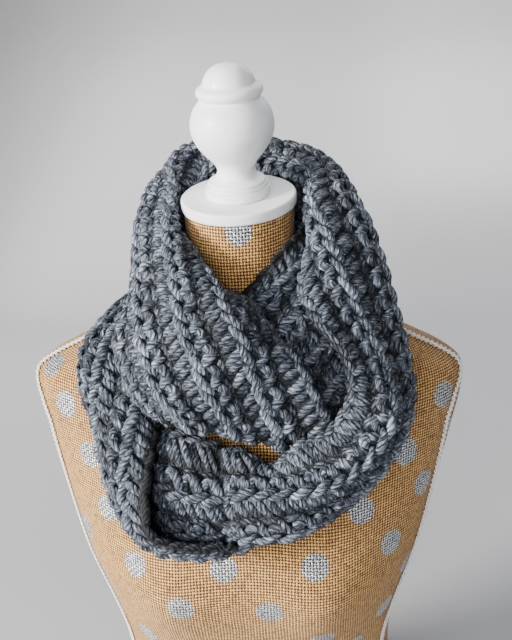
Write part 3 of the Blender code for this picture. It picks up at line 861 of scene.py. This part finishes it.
def braid_edges(level):
    """The braid's front and back edges on the cover at one level."""
    z, half_width, front, back = level
    depth = (back - front) / 2
    heights, forwards = np.array(BRAID_PATH, float).T * MM
    middle = math.acos(np.interp(z, heights, forwards) / depth)
    reach = BRAID_HALF / math.hypot(half_width * math.cos(middle), depth * math.sin(middle))
    return cover_points(level, np.array([middle - reach, middle + reach]))


def build_braid(side, node):
    """A gimp braid up one side: two rows of loops that a fine cord makes as it goes round while
    it moves on, with a straight cord down the middle of them, laid along the cover."""
    strip = np.array([braid_edges(level) for level in torso_levels()]) * [side, 1, 1]
    seam = strip.mean(axis=1)
    sideways = unit(strip[:, 1] - strip[:, 0])
    outwards = unit(np.cross(sideways, np.gradient(seam, axis=0))) * side
    run = travelled(seam)
    turns = int(run[-1] / LOOP_PITCH) - 1
    t = np.arange(turns * LOOP_STEPS + 1) / LOOP_STEPS
    phase = 2 * math.pi * t
    cords = []
    straight = (t + LOOP_START) * LOOP_PITCH
    for row in (-1, 1):
        across = row * BRAID_HALF * (LOOP_OUT + LOOP_WIDE * np.cos(phase))
        height = LOOP_RISE * np.sin(phase + LOOP_LEAD)
        along = straight - LOOP_SWING * LOOP_PITCH * np.sin(phase)
        cords.append((along, across, height, BRAID_CORD))
    cords.append((straight, 0 * t, MIDDLE_RISE + 0 * t, BRAID_CORD * MIDDLE_CORD))
    points = []
    parts = [points, [], [], [], []]
    for along, across, height, radius in cords:
        middle, aside, outward = (
            np.stack([np.interp(along, run, line[:, axis]) for axis in range(3)], axis=1)
            for line in (seam, sideways, outwards)
        )
        path = middle + outward * (BRAID_CLEAR + height)[:, None] + aside * across[:, None]
        radii = np.full((1, len(t)), radius)
        p, q, c, uv = tubes(path[None], unit(outward)[None], radii, CORD_AROUND)
        offset = sum(map(len, points))
        split = len(q) * 4
        for part, made in zip(parts, (p, q + offset, c + offset, uv[:split], uv[split:])):
            part.append(made)
    points, quads, caps, quad_uv, cap_uv = (np.concatenate(part) for part in parts)
    braid = new_piece(f"gimp_{node}", points, quads, caps)
    give_uv(braid, np.concatenate([quad_uv, cap_uv]))
    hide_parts(node)
    return braid


# ---- the turned cap and finial


def turned(name, node, profile):
    """A body turned about the neck's axis: its outline, from the top down to the foot, swept once
    round, with a pole at each end."""
    profile = np.array(profile, float) * MM
    rounds = len(profile) - 2
    turn = np.arange(TURNED_AROUND) * 2 * math.pi / TURNED_AROUND
    z, radius = profile[1:-1, :1], profile[1:-1, 1:]
    x, y = radius * np.cos(turn), radius * np.sin(turn)
    rings = np.stack([x, y, np.broadcast_to(z, x.shape)], axis=-1).reshape(-1, 3)
    ends = np.array([[0, 0, profile[0, 0]], [0, 0, profile[-1, 0]]])
    local = np.concatenate([rings, ends])
    place = np.array(cap_frame())
    points = local @ place[:3, :3].T + place[:3, 3]
    quads = ring_faces(rounds, TURNED_AROUND)[:, ::-1]
    body = new_piece(name, points, quads, pole_faces(rounds, TURNED_AROUND))
    body.data.set_sharp_from_angle(angle=SHARP_TURNING)
    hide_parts(node)
    return body


def build_cap():
    """The neck's round cap with eased edges, and the finial that stands on it."""
    radius, thick, edge = CAP_RADIUS / MM, CAP_THICK / MM, CAP_EDGE / MM
    corner = [(math.sin(a), math.cos(a)) for a in np.linspace(0, math.pi / 2, CORNER_STEPS)]
    upper = [(-edge + edge * c, radius - edge + edge * s) for s, c in corner]
    lower = [(-thick + edge - edge * s, radius - edge + edge * c) for s, c in corner]
    cap = turned("turned_cap", "neck_cap", [(0, 0), *upper, *lower, (-thick, 0)])
    above_foot = spline(np.array(FINIAL[:-FOOT_POINTS], float), FINIAL_STEPS)
    outline = [*above_foot.tolist(), *FINIAL[-FOOT_POINTS:]]
    finial = turned("turned_finial", "finial", outline)
    return cap, finial


# ---- finishes


class Value:
    """One socket of a finish. Arithmetic on it adds Math nodes."""

    def __init__(self, finish, socket):
        self.finish, self.socket = finish, socket

    def math(self, operation, *others):
        """A Math node's result, from this value and the others."""
        settings = {"operation": operation}
        return self.finish.node("Math", settings, {i: v for i, v in enumerate((self, *others))})

    def __add__(self, other):
        return self.math("ADD", other)

    def __sub__(self, other):
        return self.math("SUBTRACT", other)

    def __rsub__(self, other):
        return self.finish.node("Math", {"operation": "SUBTRACT"}, {0: other, 1: self})

    def __mul__(self, other):
        return self.math("MULTIPLY", other)

    def __truediv__(self, other):
        return self.math("DIVIDE", other)

    __radd__ = __add__
    __rmul__ = __mul__

    def ramp(self, low, high):
        """0 below `low`, 1 above `high` and smooth between."""
        ends = {"Value": self, "From Min": low, "From Max": high}
        return self.finish.node("MapRange", {"interpolation_type": "SMOOTHSTEP"}, ends)


class Finish:
    """A material of one Principled shader, and the nodes behind its sockets."""

    def __init__(self, name, **constants):
        self.material = bpy.data.materials.new(name)
        self.material.use_nodes = True
        self.tree = self.material.node_tree
        self.shader = self.tree.nodes["Principled BSDF"]
        for socket, value in constants.items():
            self.shader.inputs[socket.replace("_", " ")].default_value = value

    def put(self, socket, value):
        """Links a socket to a value, or sets it to a number or a colour."""
        if isinstance(value, Value):
            self.tree.links.new(value.socket, socket)
        else:
            socket.default_value = value

    def node(self, kind, settings, inputs, out=0):
        """Any node: its type, its settings, its sockets' values or links, and which output."""
        made = self.tree.nodes.new(f"ShaderNode{kind}")
        for key, value in settings.items():
            if key == "stops":
                while len(made.color_ramp.elements) < len(value):
                    made.color_ramp.elements.new(0.5)
                for stop, (position, color) in zip(made.color_ramp.elements, value):
                    stop.position = position
                    stop.color = (*color, 1.0)
            else:
                setattr(made, key, value)
        for key, value in inputs.items():
            self.put(made.inputs[key], value)
        return Value(self, made.outputs[out])

    def color(self, value, stops):
        """A value's colour, from a few stops."""
        return self.node("ValToRGB", {"stops": stops}, {0: value})

    def mixed(self, share, a, b):
        """Colour `a`, with a share of colour `b` over it."""
        return self.node("Mix", {"data_type": "RGBA"}, {0: share, 6: a, 7: b}, 2)

    def dimmed(self, color, share):
        """A colour times a number."""
        settings = {"data_type": "RGBA", "blend_type": "MULTIPLY"}
        grey = self.node("CombineColor", {}, {0: share, 1: share, 2: share})
        return self.node("Mix", settings, {0: 1.0, 6: color, 7: grey}, 2)

    def uv(self):
        """The two numbers of the piece's UV map."""
        place = self.node("UVMap", {"uv_map": "UVMap"}, {})
        return [self.node("SeparateXYZ", {}, {0: place}, k) for k in (0, 1)]

    def vector(self, x, y, z):
        """Three values as one place."""
        return self.node("CombineXYZ", {}, {0: x, 1: y, 2: z})

    def place(self):
        """The object's own coordinates."""
        return self.node("TexCoord", {}, {}, 3)

    def attribute(self, name):
        """The number that each point of the piece keeps under a name."""
        return self.node("Attribute", {"attribute_name": name}, {}, 2)

    def noise(self, vector, scale, detail=3.0, rough=0.55):
        """Cloudy chance values from 0 to 1, so many to the unit of the place."""
        inputs = {"Vector": vector, "Scale": scale, "Detail": detail, "Roughness": rough}
        return self.node("TexNoise", {}, inputs)

    def bump(self, height, distance, strength=1.0):
        """Normals that make a height from 0 to 1 look as high as the distance."""
        inputs = {"Height": height, "Distance": distance, "Strength": strength}
        return self.node("Bump", {}, inputs)

    def shade(self, **sockets):
        """Joins the values to the shader's sockets and gives the finished material."""
        for socket, value in sockets.items():
            self.put(self.shader.inputs[socket.replace("_", " ")], value)
        return self.material


def yarn_finish():
    """Marled wool: plies that wind round the strand, each with dark and light fibres along it.
    Painted shade darkens the grooves between plies and the yarn that lies deep between strands, and
    the strands' tone carries a painted highlight.
    """
    finish = Finish("marled_yarn", Roughness=0.7, Specular_IOR_Level=0.3)
    round_, length = finish.uv()
    turn = round_ * 4.0 + length / 5.0
    groove = (turn * math.pi).math("SINE").math("ABSOLUTE")
    ply = groove.math("POWER", 0.7)
    along = length * 0.22 - round_ * 1.3
    tone = finish.attribute("tone")
    fibre = finish.noise(finish.vector(turn * 6.0, along, tone * 17.0), 1.0, 3.0, 0.6)
    marl = finish.noise(finish.vector(turn * 2.4, along * 1.1, tone * 31.0), 1.0, 2.0, 0.5)
    cloud = finish.noise(finish.place(), 26.0, 2.0)
    mix = fibre * 0.60 + marl * 0.40 + (cloud - 0.5) * 0.10 + (tone - 0.5) * 0.09
    stops = [
        (0.37, (0.006, 0.008, 0.011)),
        (0.44, (0.028, 0.034, 0.046)),
        (0.51, (0.092, 0.109, 0.137)),
        (0.58, (0.230, 0.262, 0.315)),
        (0.66, (0.480, 0.525, 0.600)),
    ]
    # painted shade: the lower the yarn lies between strands, and the deeper in a groove between
    # plies, the darker its colour
    depth = 0.05 + 0.95 * finish.attribute("over_cloth").ramp(0.2, 6.4)
    color = finish.dimmed(finish.color(mix, stops), (0.25 + 0.75 * ply) * depth)
    height = ply * 0.7 + fibre * 0.55
    return finish.shade(Base_Color=color, Normal=finish.bump(height, 1.3 * MM, 1.0))


def ground_painted_shade():
    """Painted shade: the same wool, near black, standing for the deep shade between the strands."""
    finish = Finish("yarn_ground_painted_shade", Roughness=0.9)
    place = finish.place()
    fibre = finish.noise(place, 420.0, 3.0, 0.6)
    # painted shade: near-black stops for the shade deep between strands
    stops = [(0.35, (0.004, 0.005, 0.007)), (0.65, (0.030, 0.035, 0.045))]
    return finish.shade(Base_Color=finish.color(fibre, stops), Normal=finish.bump(fibre, 0.8 * MM))


def fuzz_finish():
    """Single fibres of the same wool, grey to pale."""
    finish = Finish("stray_fibres", Roughness=0.8, Specular_IOR_Level=0.3)
    mix = finish.noise(finish.place(), 160.0, 1.0)
    stops = [(0.35, (0.04, 0.048, 0.060)), (0.65, (0.26, 0.285, 0.33))]
    return finish.shade(Base_Color=finish.color(mix, stops))


def burlap_finish():
    """Plain weave of slubby jute, with gaps at its corners, and dots of silver paint that lie
    on the threads and leave the gaps bare. Its colour follows the threads' height: painted shade
    in the gaps and at the threads' edges, and a painted highlight on their tops, on the silver too."""
    finish = Finish("dotted_burlap", Sheen_Weight=0.1)
    u, v = finish.uv()
    sway = finish.noise(finish.vector(u, v, 0.0), 0.03, 1.0)
    sway_up = finish.noise(finish.vector(u, v, 40.0), 0.03, 1.0)
    across = (u + (sway - 0.5) * 2.4) / WEAVE
    up = (v + (sway_up - 0.5) * 2.4) / WEAVE
    sine_u, sine_v = (across * math.pi).math("SINE"), (up * math.pi).math("SINE")
    warp, weft = (wave.math("ABSOLUTE").ramp(0.36, 0.95) for wave in (sine_u, sine_v))
    warp_number, weft_number = across.math("FLOOR"), up.math("FLOOR")
    slub_warp = finish.noise(finish.vector(warp_number * 7.3, up * 0.40, 3.0), 1.0, 2.0)
    slub_weft = finish.noise(finish.vector(across * 0.40, weft_number * 7.3, 9.0), 1.0, 2.0)
    over = sine_u * sine_v * 0.36
    warp_height = warp * (0.74 + over) * (0.60 + 0.80 * slub_warp)
    weft_height = weft * (0.74 - over) * (0.60 + 0.80 * slub_weft)
    height = warp_height.math("MAXIMUM", weft_height)
    slub = slub_weft + slub_warp - 0.5
    hair = finish.noise(finish.vector(u, v, 0.0), 2.6, 3.0, 0.7)
    cloud = finish.noise(finish.place(), 9.0, 2.0)
    mix = height * 0.90 + (slub - 0.5) * 0.20 + (hair - 0.5) * 0.30 + (cloud - 0.5) * 0.14
    # painted shade and highlight: by the threads' height the jute goes near black in the gaps and
    # at the threads' edges and lightens on their tops
    stops = [
        (0.14, (0.008, 0.002, 0.001)),
        (0.40, (0.080, 0.026, 0.004)),
        (0.58, (0.290, 0.118, 0.020)),
        (0.74, (0.560, 0.272, 0.056)),
        (0.94, (0.860, 0.520, 0.150)),
    ]
    jute = finish.color(mix, stops)
    speckle = finish.noise(finish.vector(u, v, 7.0), 0.7, 3.0, 0.8)
    radius = DOT_RADIUS / MM
    inside = 1.0 - finish.attribute("dot_distance").ramp(radius - 0.6, radius + 0.3)
    paint = inside * (height + (speckle - 0.5) * 0.6).ramp(0.22, 0.46)
    silver_stops = [
        (0.26, (0.03, 0.032, 0.035)),
        (0.42, (0.24, 0.25, 0.265)),
        (0.56, (0.97, 0.98, 1.0)),
    ]
    # painted highlight: the silver is brighter on the threads' tops by their height, and darker low
    # down as painted shade
    silver = finish.color(speckle * 1.8 + height * 0.50 - 0.84, silver_stops)
    color = finish.mixed(paint, jute, silver)
    shallow = finish.bump(height + hair * 0.25, 1.0 * MM, 1.0)
    return finish.shade(
        Base_Color=color,
        Metallic=paint * 0.6,
        Roughness=0.85 - paint * 0.45,
        Normal=shallow,
    )


def braid_finish():
    """White cotton cord, wound from fine yarn: a slanted groove every 0.9 mm, darkened in its
    colour as painted shade.
    """
    finish = Finish("cotton_gimp", Roughness=0.7, Sheen_Weight=0.2)
    round_, length = finish.uv()
    wind = ((round_ * 3.0 + length / 0.9) * math.pi).math("SINE").math("ABSOLUTE")
    tint = finish.noise(finish.place(), 300.0, 2.0)
    # painted shade: the colour darkens in each groove of the winding
    stops = [(0.2, (0.55, 0.52, 0.47)), (0.7, (0.93, 0.91, 0.87))]
    return finish.shade(
        Base_Color=finish.color(wind * 0.5 + tint * 0.5, stops), Normal=finish.bump(wind, 0.2 * MM)
    )


def painted_finish():
    """White paint on turned wood: faint rings from the lathe, brush marks, a few small nicks, and
    a broken crack in the paint where the finial's foot meets the cap in front, whose dark dashes
    are also a painted shadow in the gap of the joint."""
    finish = Finish("white_paint", Coat_Weight=0.08)
    ends = {0: finish.place(), 1: (0, 0, NECK_TOP)}
    inputs = {"Vector": finish.node("VectorMath", {"operation": "SUBTRACT"}, ends)}
    inputs["Rotation"] = (NECK_TILT, NECK_LEAN, 0)
    local = finish.node("VectorRotate", {"rotation_type": "EULER_XYZ", "invert": True}, inputs)
    x, y, z = (finish.node("SeparateXYZ", {}, {0: local}, k) / MM for k in (0, 1, 2))
    radius = (x * x + y * y).math("SQRT")
    angle = y.math("ARCTAN2", x)
    rings = finish.noise(finish.vector(0.0, 0.0, z), 0.9, 3.0, 0.6)
    brush = finish.noise(finish.vector(angle * 3.0, radius * 0.2, z * 0.9), 1.0, 3.0, 0.6)
    grain = finish.noise(local, 160.0, 3.0, 0.6)
    dirt = finish.noise(local, 34.0, 4.0, 0.65)
    chips = finish.noise(local, 210.0, 2.0, 0.6).ramp(0.735, 0.75)
    # painted shadow: the crack's dark dashes where foot and cap meet in front also stand for the
    # shade in the joint's gap
    broken = finish.noise(finish.vector(angle * 9.0, 4.0, 0.0), 1.0, 2.0, 0.6).ramp(0.50, 0.56)
    wander = finish.noise(finish.vector(angle * 14.0, 9.0, 0.0), 1.0, 2.0, 0.6) * 1.6 - 0.8
    line = 1.0 - ((radius - CRACK_RADIUS - 0.5 - wander).math("ABSOLUTE")).ramp(0.12, 0.42)
    front = angle.ramp(-2.15, -2.05) * (1.0 - angle.ramp(-1.0, -0.9))
    crack = line * broken * front * (1.0 - z.math("ABSOLUTE").ramp(0.6, 1.0))
    stops = [(0.30, (0.80, 0.80, 0.79)), (0.62, (0.90, 0.90, 0.90))]
    paint = finish.color(dirt * 0.7 + brush * 0.3, stops)
    nicks_crack_and_gap_shadow = chips.math("MAXIMUM", crack)
    color = finish.mixed(nicks_crack_and_gap_shadow * 0.85, paint, (0.10, 0.085, 0.07, 1.0))
    height = rings * 0.35 + brush * 0.35 + grain * 0.3 - nicks_crack_and_gap_shadow * 1.2
    return finish.shade(
        Base_Color=color,
        Roughness=0.42 + 0.2 * grain,
        Normal=finish.bump(height, 0.35 * MM, 0.6),
    )


def wall_finish():
    """Pale paint under painted light and shade: a painted light high on one side, and painted
    shade towards one upper corner, along the top, low on the other side and near the form, where
    less daylight reaches."""
    finish = Finish("pale_wall_painted_light", Roughness=0.9)
    cloud = finish.noise(finish.place(), 1.7, 3.0)
    grain = finish.noise(finish.place(), 160.0, 3.0)
    x, y, z = (finish.node("SeparateXYZ", {}, {0: finish.place()}, k) for k in (0, 1, 2))
    # painted light and shade: these ramps stand for daylight falling off across the wall, not for
    # its paint
    corner = (x - z * 0.60).ramp(-1.50, -0.75)
    top = z.ramp(0.55, 0.90)
    bright_side = x.ramp(0.05, 0.50) * z.ramp(0.10, 0.40)
    # painted shadow of the form on the wall near it
    near = (1.0 - y.ramp(0.30, 1.30)) * (1.0 - x.ramp(0.0, 0.45) * 0.85)
    dim_side = x.ramp(0.0, 0.40) * (1.0 - z.ramp(0.05, 0.35))
    lit = (0.18 + 0.64 * corner) * (1.0 - 0.30 * top) + 0.16 * bright_side - 0.17 * dim_side
    lit = lit - 0.24 * near + (cloud - 0.5) * 0.08
    stops = [
        (0.0, (0.110, 0.112, 0.115)),
        (0.30, (0.250, 0.253, 0.260)),
        (0.55, (0.350, 0.353, 0.365)),
        (0.82, (0.520, 0.522, 0.540)),
        (1.0, (0.720, 0.722, 0.750)),
    ]
    return finish.shade(
        Base_Color=finish.color(lit, stops), Normal=finish.bump(grain, 0.3 * MM, 0.4)
    )


# ---- the room, its light and the camera


def build_room():
    """A pale floor that curves up by a quarter turn into a wall behind the form."""
    bend = np.linspace(0, math.pi / 2, ROOM_BEND_STEPS)
    y = [FLOOR_FROM, *(WALL_AT - ROOM_BEND + ROOM_BEND * np.sin(bend)), WALL_AT]
    z = [0.0, *(ROOM_BEND - ROOM_BEND * np.cos(bend)), WALL_HEIGHT]
    x = np.array([-ROOM_HALF, ROOM_HALF])
    points = np.stack([np.tile(x, len(y)), np.repeat(y, 2), np.repeat(z, 2)], axis=1)
    i = np.arange(len(y) - 1) * 2
    room = new_piece("room", points, np.stack([i, i + 1, i + 3, i + 2], axis=1))
    room.parent = None
    del room["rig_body"]
    room.data.materials.append(wall_finish())


def light_room():
    """A window at one side, the rest of the room in front, and a little light from behind."""
    for name, place, size, watts, color in LAMPS:
        data = bpy.data.lights.new(name, "AREA")
        data.shape, data.size, data.energy, data.color = "DISK", size, watts, color
        lamp = bpy.data.objects.new(name, data)
        lamp.location = place
        towards = Vector(LAMP_TARGET) - Vector(place)
        lamp.rotation_euler = towards.to_track_quat("-Z", "Y").to_euler()
        bpy.context.scene.collection.objects.link(lamp)
    world = bpy.data.worlds.new("room_light")
    world.use_nodes = True
    background = world.node_tree.nodes["Background"]
    background.inputs[0].default_value = SKY_COLOR
    background.inputs[1].default_value = SKY_STRENGTH
    bpy.context.scene.world = world


def place_camera():
    """Looks down on the form's front, turned a little to one side and rolled a little."""
    turn, tip, roll = (math.radians(angle) for angle in CAMERA_ANGLES)
    back = Vector((math.sin(turn) * math.cos(tip), -math.cos(turn) * math.cos(tip), math.sin(tip)))
    right = Vector((math.cos(turn), math.sin(turn), 0.0))
    up = back.cross(right)
    right, up = (
        right * math.cos(roll) - up * math.sin(roll),
        right * math.sin(roll) + up * math.cos(roll),
    )
    data = bpy.data.cameras.new("camera")
    data.lens, data.sensor_width = CAMERA_LENS, CAMERA_SENSOR
    data.clip_start, data.clip_end = CAMERA_CLIP
    camera = bpy.data.objects.new("camera", data)
    matrix = Matrix((right, up, back)).transposed().to_4x4()
    camera.matrix_world = Matrix.Translation(CAMERA_PLACE) @ matrix
    bpy.context.scene.collection.objects.link(camera)
    bpy.context.scene.camera = camera


# ---- all of it

build_torso().data.materials.append(burlap_finish())
gimp = braid_finish()
for side, node in ((1, "side_braid_left"), (-1, "side_braid_right")):
    build_braid(side, node).data.materials.append(gimp)

white = painted_finish()
for piece in build_cap():
    piece.data.materials.append(white)

wool = ground_painted_shade(), yarn_finish(), fuzz_finish()
for pieces in build_scarf():
    for piece, finish in zip(pieces, wool):
        piece.data.materials.append(finish)

build_room()
light_room()
place_camera()
